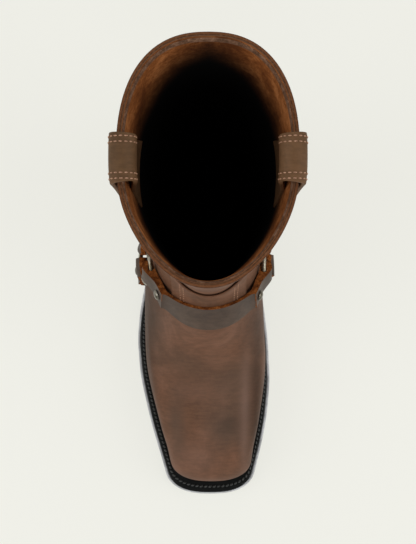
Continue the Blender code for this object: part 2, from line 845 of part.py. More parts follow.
def make_instep_strap(rings, seats, leather, metal):
    """From ring to ring over the instep, highest and widest in the middle, over the pad."""
    start = Fold(rings["medial"], INSTEP_ANGLE)
    stop = Fold(rings["lateral"], INSTEP_ANGLE)
    stop_turn = stop.turn % (2 * math.pi)

    def line(share):
        rise = math.sin(math.pi * share)
        z = mix(mix(start.wire.z, stop.wire.z, share), INSTEP_STRAP_HEIGHT, rise)
        return z, mix(start.turn, stop_turn, share)

    def widths(share):
        return mix(STRAP_END_WIDTH, INSTEP_STRAP_WIDTH, ease(0.02, 0.42, min(share, 1 - share)))

    def lay(share):
        over_pad = ease(0.09, 0.18, min(share, 1 - share))
        return mix(LAY_GAP, PAD_THICKNESS + 2 * LAY_GAP, over_pad)

    strap = lay_strap("instep_strap", line, widths, lay, (start, stop), leather)
    cut(strap, seats["medial"])
    cut(strap, seats["lateral"])
    strap_rivet("rivet_instep_medial", line, start, lay, metal)
    strap_rivet("rivet_instep_lateral", line, stop, lay, metal, from_start=False)


def make_heel_strap(rings, seats, leather, metal):
    """From ring to ring round the back of the ankle, above the counter."""
    start = Fold(rings["lateral"], HEEL_ANGLE)
    stop = Fold(rings["medial"], HEEL_ANGLE)

    def line(share):
        rise = math.sin(math.pi * share)
        z = mix(mix(start.wire.z, stop.wire.z, share), HEEL_STRAP_HEIGHT, rise)
        return z, mix(start.turn, stop.turn, share)

    def widths(share):
        return mix(STRAP_END_WIDTH, HEEL_STRAP_WIDTH, ease(0.02, 0.2, min(share, 1 - share)))

    def lay(share):
        return LAY_GAP

    strap = lay_strap("heel_strap", line, widths, lay, (start, stop), leather)
    cut(strap, seats["lateral"])
    cut(strap, seats["medial"])
    strap_rivet("rivet_heel_lateral", line, start, lay, metal)
    strap_rivet("rivet_heel_medial", line, stop, lay, metal, from_start=False)


def make_side_strap(name, ring, wire_seat, leather, metal):
    """From the ring down to the welt at the waist of the boot."""
    start = Fold(ring, SIDE_ANGLE)
    foot_y = start.wire.y - SIDE_STRAP_SLANT
    foot_z = seat(foot_y) + STRAP_FOOT

    def line(share):
        y = mix(start.wire.y, foot_y, share)
        z = mix(start.wire.z, foot_z, share)
        return z, turn_at(y, z, ring.side)

    def widths(share):
        return mix(STRAP_END_WIDTH, SIDE_STRAP_WIDTH, ease(0.02, 0.3, share))

    def lay(share):
        return LAY_GAP + GAP

    strap = lay_strap("side_strap_" + name, line, widths, lay, (start, None), leather)
    cut(strap, wire_seat)
    strap_rivet("rivet_side_" + name, line, start, lay, metal)


# The pull straps


def pull_profile():
    """The strap's middle in section: lift off the shaft's outer face, and height above the collar."""
    outer = LAY_GAP + PULL_THICKNESS / 2
    inner = outer - (PULL_SPAN - PULL_THICKNESS)
    stitched = -(WALL + LAY_GAP + PULL_THICKNESS / 2)
    shoulder = PULL_RISE - (PULL_SPAN - PULL_THICKNESS) / 2 - PULL_THICKNESS / 2
    points = [(outer, -PULL_DEPTH), (outer, -PULL_DEPTH / 2), (outer, -PULL_DEPTH / 9), (outer, shoulder)]
    for k in range(1, PULL_ARCH_STEPS):
        angle = math.pi * k / PULL_ARCH_STEPS
        lift = mix(inner, outer, (1 + math.cos(angle)) / 2)
        points.append((lift, shoulder + (outer - inner) / 2 * math.sin(angle)))
    points.append((inner, shoulder))
    for share in (0.12, 0.28, 0.5, 0.75, 1.0):
        away = ease(0.6, 0.0, share)
        points.append((mix(stitched, inner, away), shoulder - share * (PULL_DEPTH + shoulder)))
    return points


def make_pull_strap(name, side, leather):
    """A loop over the collar: one leg down the outside, one down the inside, wider at their feet."""
    profile = pull_profile()
    middle_y = (BACK_PROFILE[-1][1] * SOLE_LENGTH + COLLAR_FRONT) / 2
    loops = []
    for k, (lift, above) in enumerate(profile):
        before = profile[max(k - 1, 0)]
        after = profile[min(k + 1, len(profile) - 1)]
        run = Vector((after[0] - before[0], after[1] - before[1])).normalized()
        out_lift, out_rise = run.y * PULL_THICKNESS / 2, -run.x * PULL_THICKNESS / 2
        width = mix(PULL_WIDTH, PULL_FOOT_WIDTH, ease(-PULL_DEPTH * 0.3, -PULL_DEPTH, above))
        faces = []
        for sign in (-1, 1):
            row = []
            for j in range(PULL_ROWS):
                y = middle_y + (j / (PULL_ROWS - 1) - 0.5) * width
                z = COLLAR_HEIGHT + above + sign * out_rise
                wall_z = min(z, COLLAR_HEIGHT)
                turn = turn_at(y, wall_z, side)
                height = height_at(wall_z, turn)
                flat = outwards(height, turn)
                flat.z = 0.0
                point = last_point(height, turn) + flat.normalized() * (lift + sign * out_lift)
                row.append(Vector((point.x, point.y, z)))
            faces.append(row)
        loops.append(faces[0] + faces[1][::-1])
    return skin(name, loops, leather)


def stand_on_origin():
    """Move every piece so that the origin is under the middle of the boot's box."""
    bpy.context.view_layer.update()
    corners = [vertex.co for piece in boot.objects for vertex in piece.data.vertices]
    low = [min(corner[axis] for corner in corners) for axis in range(3)]
    high = [max(corner[axis] for corner in corners) for axis in range(3)]
    shift = Vector((-(low[0] + high[0]) / 2, -(low[1] + high[1]) / 2, -low[2]))
    for piece in list(boot.objects) + list(cutters.objects):
        piece.location = shift


def main():
    clear_scene()
    upper_leather = material("brown_oiled_leather", (0.11, 0.062, 0.040), 0.48)
    strap_leather = material("dark_brown_strap_leather", (0.085, 0.060, 0.046), 0.45)
    lining_leather = material("tan_lining_leather", (0.20, 0.10, 0.04), 0.7)
    black_rubber = material("black_rubber", (0.012, 0.013, 0.013), 0.55)
    black_welt = material("black_welt_leather", (0.010, 0.010, 0.010), 0.5)
    nickel = material("aged_nickel", (0.42, 0.40, 0.34), 0.32, 1.0)

    make_outsole(black_rubber)
    make_heel(black_welt, black_rubber)
    make_welt(black_welt)
    make_insole(lining_leather)
    make_upper(upper_leather)
    make_counter(upper_leather)
    make_pad(upper_leather)
    make_harness(strap_leather, nickel)
    make_pull_strap("pull_strap_medial", 1, upper_leather)
    make_pull_strap("pull_strap_lateral", -1, upper_leather)
    stand_on_origin()


main()
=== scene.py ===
# Looks of a brown harness boot, seen from straight above
import json
import math

import bpy
from mathutils import Matrix, Vector
from mathutils.bvhtree import BVHTree

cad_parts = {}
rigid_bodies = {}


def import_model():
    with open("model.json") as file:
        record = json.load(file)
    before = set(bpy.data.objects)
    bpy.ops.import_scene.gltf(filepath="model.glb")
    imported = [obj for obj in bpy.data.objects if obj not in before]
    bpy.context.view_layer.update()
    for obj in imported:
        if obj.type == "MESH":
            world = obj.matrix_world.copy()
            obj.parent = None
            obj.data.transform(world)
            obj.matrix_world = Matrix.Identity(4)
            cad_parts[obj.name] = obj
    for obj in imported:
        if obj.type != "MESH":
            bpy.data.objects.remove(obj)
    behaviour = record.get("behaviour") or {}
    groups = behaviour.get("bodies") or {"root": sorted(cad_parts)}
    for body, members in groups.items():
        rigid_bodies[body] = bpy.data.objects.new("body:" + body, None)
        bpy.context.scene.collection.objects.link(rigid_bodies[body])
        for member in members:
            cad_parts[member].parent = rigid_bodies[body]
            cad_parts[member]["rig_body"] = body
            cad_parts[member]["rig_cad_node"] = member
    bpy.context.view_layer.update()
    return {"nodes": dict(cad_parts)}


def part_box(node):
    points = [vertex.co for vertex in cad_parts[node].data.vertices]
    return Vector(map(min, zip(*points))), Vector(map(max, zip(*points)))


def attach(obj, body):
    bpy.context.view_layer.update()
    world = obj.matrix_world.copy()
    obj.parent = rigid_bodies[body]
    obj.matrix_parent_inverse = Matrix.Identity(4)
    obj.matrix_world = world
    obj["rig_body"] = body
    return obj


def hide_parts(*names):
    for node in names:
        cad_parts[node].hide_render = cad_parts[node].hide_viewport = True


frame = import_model()
cadNodes = frame["nodes"]
print("frame loaded")

# Small tools for material nodes


def startMaterial(name):
    made = bpy.data.materials.new(name)
    made.use_nodes = True
    tree = made.node_tree
    return made, tree, tree.nodes["Principled BSDF"]


def objectPlace(tree, stretch=(1.0, 1.0, 1.0)):
    coordinate = tree.nodes.new("ShaderNodeTexCoord")
    mapping = tree.nodes.new("ShaderNodeMapping")
    mapping.inputs["Scale"].default_value = stretch
    tree.links.new(coordinate.outputs["Object"], mapping.inputs["Vector"])
    return mapping.outputs["Vector"]


def addNoise(tree, place, scale, detail=4.0, roughness=0.55, distortion=0.0):
    node = tree.nodes.new("ShaderNodeTexNoise")
    node.inputs["Scale"].default_value = scale
    node.inputs["Detail"].default_value = detail
    node.inputs["Roughness"].default_value = roughness
    node.inputs["Distortion"].default_value = distortion
    tree.links.new(place, node.inputs["Vector"])
    return node.outputs["Fac"]


def addCells(tree, place, scale, smoothness=0.6):
    node = tree.nodes.new("ShaderNodeTexVoronoi")
    node.feature = "SMOOTH_F1"
    node.inputs["Scale"].default_value = scale
    node.inputs["Smoothness"].default_value = smoothness
    tree.links.new(place, node.inputs["Vector"])
    return node.outputs["Distance"]


def addRamp(tree, factor, stops):
    node = tree.nodes.new("ShaderNodeValToRGB")
    ramp = node.color_ramp
    while len(ramp.elements) < len(stops):
        ramp.elements.new(0.5)
    for element, (position, colour) in zip(ramp.elements, stops):
        element.position = position
        element.color = (*colour, 1.0)
    tree.links.new(factor, node.inputs["Fac"])
    return node.outputs["Color"]


def addMix(tree, factor, first, second):
    node = tree.nodes.new("ShaderNodeMix")
    node.data_type = "RGBA"
    for value, socket in ((factor, node.inputs[0]), (first, node.inputs[6]), (second, node.inputs[7])):
        if isinstance(value, bpy.types.NodeSocket):
            tree.links.new(value, socket)
        else:
            socket.default_value = (*value, 1.0)
    return node.outputs[2]


def addMath(tree, operation, first, second=0.0):
    node = tree.nodes.new("ShaderNodeMath")
    node.operation = operation
    for value, socket in ((first, node.inputs[0]), (second, node.inputs[1])):
        if isinstance(value, bpy.types.NodeSocket):
            tree.links.new(value, socket)
        else:
            socket.default_value = value
    return node.outputs[0]


def addRange(tree, value, low, high, newLow, newHigh):
    node = tree.nodes.new("ShaderNodeMapRange")
    for number, amount in zip(("From Min", "From Max", "To Min", "To Max"), (low, high, newLow, newHigh)):
        node.inputs[number].default_value = amount
    tree.links.new(value, node.inputs["Value"])
    return node.outputs["Result"]


def addBump(tree, height, distance, strength, under=None):
    node = tree.nodes.new("ShaderNodeBump")
    node.inputs["Distance"].default_value = distance
    node.inputs["Strength"].default_value = strength
    tree.links.new(height, node.inputs["Height"])
    if under is not None:
        tree.links.new(under, node.inputs["Normal"])
    return node.outputs["Normal"]


def readAttribute(tree, name):
    node = tree.nodes.new("ShaderNodeAttribute")
    node.attribute_name = name
    return node.outputs["Fac"]


def blendNoises(tree, first, second, share):
    weighed = addMath(tree, "MULTIPLY", first, share), addMath(tree, "MULTIPLY", second, 1.0 - share)
    return addMath(tree, "ADD", *weighed)


# Finishes: a look is a dictionary, and a finish makes a material from it

oiledLook = {
    "deep": (0.032, 0.017, 0.010),
    "dark": (0.098, 0.046, 0.024),
    "middle": (0.145, 0.066, 0.035),
    "light": (0.225, 0.108, 0.064),
    "grey": (0.088, 0.060, 0.043),
    # tint of the painted highlights and of the paler spots
    "bloom": (0.195, 0.118, 0.088),
    "mottle": {"scale": 34.0, "detail": 5.0, "roughness": 0.6, "distortion": 0.6},
    "mottleStops": (0.30, 0.50, 0.72),
    "cloud": {"scale": 16.0, "detail": 3.0, "roughness": 0.5, "distortion": 0.3},
    "cloudSpan": (0.42, 0.68),
    "cloudAmount": 0.40,
    "streak": {"scale": 95.0, "detail": 4.0, "roughness": 0.65},
    "streakStretch": (1.0, 5.0, 2.0),
    "streakPale": (0.45, 0.75),
    "streakDeep": (0.55, 0.25),
    "streakAmount": 0.24,
    "speck": {"scale": 320.0, "detail": 6.0, "roughness": 0.7},
    "speckSpan": (0.35, 0.75),
    "speckAmount": 0.20,
    "grainScale": 900.0,
    "grainShare": 0.6,
    "fineGrain": {"scale": 1980.0, "detail": 4.0, "roughness": 0.6},
    "grainHeight": 0.00025,
    "grainDepth": 0.22,
    "swellHeight": 0.0012,
    "unevenness": 0.10,
    "wearSpan": (0.3, 0.7),
    "roughness": (0.54, 0.68),
    "gloss": 0.12,
    "coat": 0.02,
    "coatRoughness": 0.38,
    "painted": True,  # reads the patches that paintSpots writes: grey tone, painted highlights and painted shade
}
strapLook = dict(
    oiledLook,
    deep=(0.030, 0.022, 0.017),
    dark=(0.052, 0.034, 0.025),
    middle=(0.072, 0.048, 0.035),
    light=(0.120, 0.078, 0.054),
    grey=(0.070, 0.056, 0.046),
    mottle=dict(oiledLook["mottle"], scale=48.0),
    grainDepth=0.12,
    roughness=(0.42, 0.54),
    coat=0.06,
    painted=False,
)
loopLook = dict(
    oiledLook,
    dark=(0.088, 0.040, 0.016),
    middle=(0.130, 0.062, 0.026),
    light=(0.205, 0.105, 0.052),
    grey=(0.085, 0.058, 0.030),
    painted=False,
)


def leatherFinish(name, look):
    made, tree, shader = startMaterial(name)
    place = objectPlace(tree)
    mottle = addNoise(tree, place, **look["mottle"])
    colours = (look["dark"], look["middle"], look["light"])
    colour = addRamp(tree, mottle, list(zip(look["mottleStops"], colours)))
    cloud = addNoise(tree, place, **look["cloud"])
    greyness = addRange(tree, cloud, *look["cloudSpan"], 0.0, look["cloudAmount"])
    colour = addMix(tree, greyness, colour, look["grey"])
    streak = addNoise(tree, objectPlace(tree, look["streakStretch"]), **look["streak"])
    for span, tint in (("streakPale", "light"), ("streakDeep", "deep")):
        amount = addRange(tree, streak, *look[span], 0.0, look["streakAmount"])
        colour = addMix(tree, amount, colour, look[tint])
    speck = addNoise(tree, place, **look["speck"])
    amount = addRange(tree, speck, *look["speckSpan"], 0.0, look["speckAmount"])
    colour = addMix(tree, amount, colour, look["light"])
    if look["painted"]:
        # patches mixed in: grey tone, painted highlights with some paler tone, painted shade with some darker
        # tone
        for patch, tint in (("greyPatch", "grey"), ("lightPatch", "bloom"), ("darkPatch", "deep")):
            colour = addMix(tree, readAttribute(tree, patch), colour, look[tint])
    tree.links.new(colour, shader.inputs["Base Color"])
    grain = addCells(tree, place, look["grainScale"])
    pores = blendNoises(tree, grain, addNoise(tree, place, **look["fineGrain"]), look["grainShare"])
    soft = addBump(tree, mottle, look["swellHeight"], look["unevenness"])
    skin = addBump(tree, pores, look["grainHeight"], look["grainDepth"], soft)
    tree.links.new(skin, shader.inputs["Normal"])
    worn = addRange(tree, speck, *look["wearSpan"], *look["roughness"])
    tree.links.new(worn, shader.inputs["Roughness"])
    shader.inputs["Specular IOR Level"].default_value = look["gloss"]
    shader.inputs["Coat Weight"].default_value = look["coat"]
    shader.inputs["Coat Roughness"].default_value = look["coatRoughness"]
    return made


suedeLook = {
    "dark": (0.130, 0.038, 0.009),
    "middle": (0.245, 0.080, 0.020),
    "light": (0.420, 0.160, 0.050),
    "stops": (0.41, 0.50, 0.60),
    "cloud": {"scale": 46.0, "detail": 5.0, "roughness": 0.62, "distortion": 0.4},
    "nap": {"scale": 420.0, "detail": 6.0, "roughness": 0.75},
    "cloudShare": 0.6,
    "napHeight": 0.0006,
    "napDepth": 0.5,
    "roughness": 0.92,
    "gloss": 0.12,
}
shadedInsideLook = dict(
    suedeLook,
    # painted shade: the suede falls to black from the height litAbove down to darkBelow, sooner at the back
    darkBelow=0.224,
    litAbove=0.288,
    fall=1.4,
    middleX=0.004,
    backHalf=0.034,
    backFrom=0.090,
    backTo=0.150,
    backDrop=0.040,
)
edgeLook = dict(
    suedeLook,
    dark=(0.085, 0.022, 0.004),
    middle=(0.195, 0.056, 0.010),
    light=(0.330, 0.115, 0.028),
    cloud=dict(suedeLook["cloud"], scale=240.0),
    nap=dict(suedeLook["nap"], scale=900.0),
    roughness=0.82,
)
bindingLook = dict(
    suedeLook,
    dark=(0.095, 0.048, 0.026),
    middle=(0.155, 0.080, 0.046),
    light=(0.270, 0.150, 0.092),
    cloud=dict(suedeLook["cloud"], scale=260.0),
    nap=dict(suedeLook["nap"], scale=900.0),
)


def suedeFinish(name, look):
    made, tree, shader = startMaterial(name)
    place = objectPlace(tree)
    nap = addNoise(tree, place, **look["nap"])
    blend = blendNoises(tree, addNoise(tree, place, **look["cloud"]), nap, look["cloudShare"])
    colours = (look["dark"], look["middle"], look["light"])
    colour = addRamp(tree, blend, list(zip(look["stops"], colours)))
    # painted shade: darker lower in the shaft, black at the bottom
    if "litAbove" in look:
        parts = tree.nodes.new("ShaderNodeSeparateXYZ")
        tree.links.new(place, parts.inputs["Vector"])
        behind = addRange(tree, parts.outputs["Y"], look["backFrom"], look["backTo"], 0.0, look["backDrop"])
        aside = addMath(tree, "ABSOLUTE", addMath(tree, "SUBTRACT", parts.outputs["X"], look["middleX"]))
        drop = addMath(tree, "MULTIPLY", behind, addRange(tree, aside, 0.0, look["backHalf"], 1.0, 0.0))
        height = addMath(tree, "SUBTRACT", parts.outputs["Z"], drop)
        lit = addRange(tree, height, look["darkBelow"], look["litAbove"], 0.0, 1.0)
        lit.node.interpolation_type = "SMOOTHSTEP"
        colour = addMix(tree, addMath(tree, "POWER", lit, look["fall"]), (0.0, 0.0, 0.0), colour)
    tree.links.new(colour, shader.inputs["Base Color"])
    tree.links.new(addBump(tree, nap, look["napHeight"], look["napDepth"]), shader.inputs["Normal"])
    shader.inputs["Roughness"].default_value = look["roughness"]
    shader.inputs["Specular IOR Level"].default_value = look["gloss"]
    return made


rimLook = {
    # share of the way through the wall, colour there
    "bands": [
        (0.00, (0.022, 0.009, 0.004)), (0.14, (0.040, 0.016, 0.007)), (0.26, (0.150, 0.058, 0.024)),
        (0.60, (0.120, 0.046, 0.018)), (0.72, (0.052, 0.022, 0.010)), (0.86, (0.120, 0.058, 0.030)),
        (1.00, (0.140, 0.072, 0.040)),
    ],
    # pale speckle on the cut edge: dust, made strong enough to also paint the rim's highlights
    "dustColour": (0.230, 0.115, 0.060),
    "dust": {"scale": 620.0, "detail": 6.0, "roughness": 0.7},
    "dustSpan": (0.48, 0.72),
    "dustAmount": 0.60,
    "dustHeight": 0.0005,
    "dustDepth": 0.5,
    "roughness": 0.8,
    "gloss": 0.08,
}


def rimFinish(name, look):
    made, tree, shader = startMaterial(name)
    dust = addNoise(tree, objectPlace(tree), **look["dust"])
    bands = addRamp(tree, readAttribute(tree, "wallShare"), look["bands"])
    # pale speckle: dust and painted highlight
    amount = addRange(tree, dust, *look["dustSpan"], 0.0, look["dustAmount"])
    tree.links.new(addMix(tree, amount, bands, look["dustColour"]), shader.inputs["Base Color"])
    tree.links.new(addBump(tree, dust, look["dustHeight"], look["dustDepth"]), shader.inputs["Normal"])
    shader.inputs["Roughness"].default_value = look["roughness"]
    shader.inputs["Specular IOR Level"].default_value = look["gloss"]
    return made


rubberLook = {
    "dust": {"scale": 60.0, "detail": 5.0, "roughness": 0.65},
    "dustStops": (0.40, 0.75),
    "paleTimes": 1.8,
    "paleMore": 0.002,
    "skin": {"scale": 700.0, "detail": 4.0, "roughness": 0.6},
    "skinHeight": 0.0002,
    "skinDepth": 0.2,
    "wearSpan": (0.3, 0.7),
    "smoother": 0.06,
    "rougher": 0.08,
    "gloss": 0.12,
}


def rubberFinish(name, colour, roughness, look=rubberLook):
    made, tree, shader = startMaterial(name)
    place = objectPlace(tree)
    dust = addNoise(tree, place, **look["dust"])
    pale = tuple(channel * look["paleTimes"] + look["paleMore"] for channel in colour)
    shade = addRamp(tree, dust, list(zip(look["dustStops"], (colour, pale))))
    tree.links.new(shade, shader.inputs["Base Color"])
    skin = addBump(tree, addNoise(tree, place, **look["skin"]), look["skinHeight"], look["skinDepth"])
    tree.links.new(skin, shader.inputs["Normal"])
    smoothest, roughest = roughness - look["smoother"], roughness + look["rougher"]
    worn = addRange(tree, dust, *look["wearSpan"], smoothest, roughest)
    tree.links.new(worn, shader.inputs["Roughness"])
    shader.inputs["Specular IOR Level"].default_value = look["gloss"]
    return made


stackLook = {
    "layer": 0.0048,
    "seamShare": 0.10,
    "seam": (0.003, 0.003, 0.003),
    "seamHeight": 0.0004,
    "seamDepth": 0.6,
    "dark": (0.009, 0.0085, 0.008),
    "light": (0.024, 0.022, 0.020),
    "stops": (0.35, 0.7),
    "tone": {"scale": 70.0, "detail": 5.0},
    "toneStretch": (1.0, 1.0, 9.0),
    "roughness": 0.42,
    "coat": 0.2,
    "coatRoughness": 0.35,
}


def stackFinish(name, look):
    made, tree, shader = startMaterial(name)
    parts = tree.nodes.new("ShaderNodeSeparateXYZ")
    tree.links.new(objectPlace(tree), parts.inputs["Vector"])
    layer = addMath(tree, "FRACT", addMath(tree, "DIVIDE", parts.outputs["Z"], look["layer"]))
    seam = addRange(tree, layer, 0.0, look["seamShare"], 0.0, 1.0)
    tone = addNoise(tree, objectPlace(tree, look["toneStretch"]), **look["tone"])
    colour = addRamp(tree, tone, list(zip(look["stops"], (look["dark"], look["light"]))))
    tree.links.new(addMix(tree, seam, look["seam"], colour), shader.inputs["Base Color"])
    tree.links.new(addBump(tree, seam, look["seamHeight"], look["seamDepth"]), shader.inputs["Normal"])
    shader.inputs["Roughness"].default_value = look["roughness"]
    shader.inputs["Coat Weight"].default_value = look["coat"]
    shader.inputs["Coat Roughness"].default_value = look["coatRoughness"]
    return made


metalLook = {
    "wear": {"scale": 180.0, "detail": 5.0, "roughness": 0.65},
    "stops": (0.38, 0.62),
    "wearSpan": (0.3, 0.7),
    "roughness": (0.24, 0.42),
    "wearHeight": 0.0002,
    "wearDepth": 0.15,
}


def metalFinish(name, dark, light, look=metalLook):
    made, tree, shader = startMaterial(name)
    wear = addNoise(tree, objectPlace(tree), **look["wear"])
    tree.links.new(addRamp(tree, wear, list(zip(look["stops"], (dark, light)))), shader.inputs["Base Color"])
    worn = addRange(tree, wear, *look["wearSpan"], *look["roughness"])
    tree.links.new(worn, shader.inputs["Roughness"])
    tree.links.new(addBump(tree, wear, look["wearHeight"], look["wearDepth"]), shader.inputs["Normal"])
    shader.inputs["Metallic"].default_value = 1.0
    return made


threadLook = {
    "twist": {"scale": 1500.0, "detail": 3.0},
    "stops": (0.35, 0.65),
    "twistHeight": 0.0002,
    "twistDepth": 0.4,
}


def threadFinish(name, dark, light, roughness, look=threadLook):
    made, tree, shader = startMaterial(name)
    twist = addNoise(tree, objectPlace(tree), **look["twist"])
    tree.links.new(addRamp(tree, twist, list(zip(look["stops"], (dark, light)))), shader.inputs["Base Color"])
    tree.links.new(addBump(tree, twist, look["twistHeight"], look["twistDepth"]), shader.inputs["Normal"])
    shader.inputs["Roughness"].default_value = roughness
    return made


oiledLeather = leatherFinish("oiledLeather", oiledLook)
strapLeather = leatherFinish("strapLeather", strapLook)
loopLeather = leatherFinish("loopLeather", loopLook)
liningSuede = suedeFinish("liningSuede", shadedInsideLook)
rawEdge = suedeFinish("rawEdge", edgeLook)
rimEdge = rimFinish("rimEdge", rimLook)
liningBinding = suedeFinish("liningBinding", bindingLook)
soleRubber = rubberFinish("soleRubber", (0.014, 0.0145, 0.0145), 0.40)
# the outsole's sides: a lighter base colour as painted highlight, and glossier rubber
soleEdge = rubberFinish("soleEdge", (0.045, 0.046, 0.046), 0.18)
# light grey rubber for the bead that paints the highlight on the outsole's edge
greyRubber = rubberFinish("greyRubber", (0.420, 0.424, 0.430), 0.34)
weltBlack = rubberFinish("weltBlack", (0.0030, 0.0034, 0.0032), 0.46)
stackBlack = stackFinish("stackBlack", stackLook)
agedNickel = metalFinish("agedNickel", (0.17, 0.14, 0.09), (0.38, 0.35, 0.28))
darkNickel = metalFinish("darkNickel", (0.10, 0.085, 0.06), (0.26, 0.24, 0.20))
tanThread = threadFinish("tanThread", (0.24, 0.11, 0.06), (0.50, 0.29, 0.18), 0.7)
blackThread = threadFinish("blackThread", (0.006, 0.007, 0.007), (0.060, 0.063, 0.058), 0.34)
print("finishes made")

# Modelling tools

meshPlan = {
    "mergeWithin": 0.00002,
    "quadFaceAngle": 55.0,
    "quadShapeAngle": 70.0,
    "bevelSegments": 2,
    "spotReach": 3.0,  # in spot sizes
}


def selectOnly(piece):
    bpy.ops.object.select_all(action="DESELECT")
    piece.select_set(True)
    bpy.context.view_layer.objects.active = piece


def applyModifiers(piece):
    selectOnly(piece)
    for modifier in list(piece.modifiers):
        bpy.ops.object.modifier_apply(modifier=modifier.name)


def copyNode(nodeName, pieceName):
    piece = cadNodes[nodeName].copy()
    piece.data = piece.data.copy()
    piece.name = pieceName
    piece.parent = None
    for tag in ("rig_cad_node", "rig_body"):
        if tag in piece:
            del piece[tag]
    bpy.context.scene.collection.objects.link(piece)
    piece.hide_viewport = False
    piece.hide_render = False
    piece.hide_set(False)
    piece.data.materials.clear()
    selectOnly(piece)
    bpy.ops.mesh.customdata_custom_splitnormals_clear()
    bpy.ops.object.mode_set(mode="EDIT")
    bpy.ops.mesh.select_all(action="SELECT")
    bpy.ops.mesh.remove_doubles(threshold=meshPlan["mergeWithin"])
    bpy.ops.mesh.tris_convert_to_quads(face_threshold=math.radians(meshPlan["quadFaceAngle"]),
                                       shape_threshold=math.radians(meshPlan["quadShapeAngle"]))
    bpy.ops.object.mode_set(mode="OBJECT")
    return piece


def smoothPiece(piece, levels, sharp=0.0, edgeWidth=0.0, crease=0.0):
    # sharp is the angle in degrees from which an edge is rounded or creased
    selectOnly(piece)
    if edgeWidth:
        bevel = piece.modifiers.new("softEdge", "BEVEL")
        bevel.width = edgeWidth
        bevel.segments = meshPlan["bevelSegments"]
        bevel.limit_method = "ANGLE"
        bevel.angle_limit = math.radians(sharp)
    if crease:
        bpy.ops.object.mode_set(mode="EDIT")
        bpy.ops.mesh.select_mode(type="EDGE")
        bpy.ops.mesh.select_all(action="DESELECT")
        bpy.ops.mesh.edges_select_sharp(sharpness=math.radians(sharp))
        bpy.ops.transform.edge_crease(value=crease)
        bpy.ops.object.mode_set(mode="OBJECT")
    smooth = piece.modifiers.new("smooth", "SUBSURF")
    smooth.levels = levels
    smooth.render_levels = levels
    applyModifiers(piece)
    bpy.ops.object.shade_smooth()


def finishPiece(piece, slot, *nodeNames):
    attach(piece, "root")
    if nodeNames:
        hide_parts(*nodeNames)


def surfaceTree(piece):
    vertices = [vertex.co.copy() for vertex in piece.data.vertices]
    return BVHTree.FromPolygons(vertices, [tuple(polygon.vertices) for polygon in piece.data.polygons])


# Line through the middle of the foot and leg: what faces it is the inside
footCore = [Vector(p) for p in (
    (0.004, 0.091, 0.400), (0.004, 0.091, 0.240), (0.004, 0.080, 0.130), (0.004, 0.052, 0.078),
    (0.002, 0.000, 0.052), (-0.001, -0.060, 0.030), (0.006, -0.110, 0.024), (0.007, -0.134, 0.023),
)]


def nearestOnCore(point):
    best = None
    for start, end in zip(footCore, footCore[1:]):
        run = end - start
        share = min(max((point - start).dot(run) / run.length_squared, 0.0), 1.0)
        place = start + run * share
        if best is None or (point - place).length < (point - best).length:
            best = place
    return best


def facesInwards(centre, normal):
    return (centre - nearestOnCore(centre)).dot(normal) < 0


def paintSpots(piece, attributeName, spots):
    values = []
    for vertex in piece.data.vertices:
        total = 0.0
        for x, y, z, wide, long, high, amount in spots:
            away = (((vertex.co.x - x) / wide) ** 2 + ((vertex.co.y - y) / long) ** 2
                    + ((vertex.co.z - z) / high) ** 2)
            if away < meshPlan["spotReach"] ** 2:
                total += amount * math.exp(-away)
        values.append(min(total, 1.0))
    made = piece.data.attributes.new(attributeName, "FLOAT", "POINT")
    made.data.foreach_set("value", values)


foldShape = {
    "reach": 4.0,  # in fold widths
    "endShare": 0.03,
    "fadePower": 0.6,
    "ridgeAt": 1.9,  # in fold widths from the trough
    "ridgeShare": 0.45,
}


def pressFolds(piece, folds, shape=foldShape):
    # a fold is a trough along a path, with a low ridge on both sides
    lines = []
    for fold in folds:
        path = [Vector(p) for p in fold["path"]]
        lines.append((path, fold["width"], fold["depth"]))
    moved = []
    for vertex in piece.data.vertices:
        push = 0.0
        for path, width, depth in lines:
            count = len(path) - 1
            best, where = math.inf, 0.0
            for k, (start, end) in enumerate(zip(path, path[1:])):
                run = end - start
                share = min(max((vertex.co - start).dot(run) / run.length_squared, 0.0), 1.0)
                away = (vertex.co - (start + run * share)).length
                if away < best:
                    best, where = away, (k + share) / count
            if best > shape["reach"] * width:
                continue
            where = min(max(where, shape["endShare"]), 1 - shape["endShare"])
            fade = math.sin(math.pi * where) ** shape["fadePower"]
            trough = math.exp(-(best / width) ** 2)
            ridge = math.exp(-((best - shape["ridgeAt"] * width) / width) ** 2)
            push += depth * fade * (shape["ridgeShare"] * ridge - trough)
        if push and not facesInwards(vertex.co, vertex.normal):
            moved.append((vertex.index, vertex.co + vertex.normal * push))
    for index, place in moved:
        piece.data.vertices[index].co = place


def smoothLine(points, closed, step, perSpan=8):
    # evenly spaced points on a soft curve through the given ones
    count = len(points)
    fine = []
    spans = count if closed else count - 1
    for k in range(spans):
        if closed:
            p0, p1, p2, p3 = (points[(k + j) % count] for j in (-1, 0, 1, 2))
        else:
            p0, p1, p2, p3 = (points[min(max(k + j, 0), count - 1)] for j in (-1, 0, 1, 2))
        for j in range(perSpan):
            t = j / perSpan
            fine.append(0.5 * ((2 * p1) + (p2 - p0) * t + (2 * p0 - 5 * p1 + 4 * p2 - p3) * t * t
                               + (3 * p1 - p0 - 3 * p2 + p3) * t * t * t))
    fine.append(points[0].copy() if closed else points[-1].copy())
    walked = [0.0]
    for here, there in zip(fine, fine[1:]):
        walked.append(walked[-1] + (there - here).length)
    number = max(int(walked[-1] / step), 1)
    spaced, k = [], 0
    for j in range(number if closed else number + 1):
        target = walked[-1] * j / number
        while k < len(walked) - 2 and walked[k + 1] < target:
            k += 1
        share = (target - walked[k]) / max(walked[k + 1] - walked[k], 1e-9)
        spaced.append(fine[k].lerp(fine[k + 1], share))
    return spaced


stitchShape = {"segments": 8, "rings": 6, "reach": 0.004}


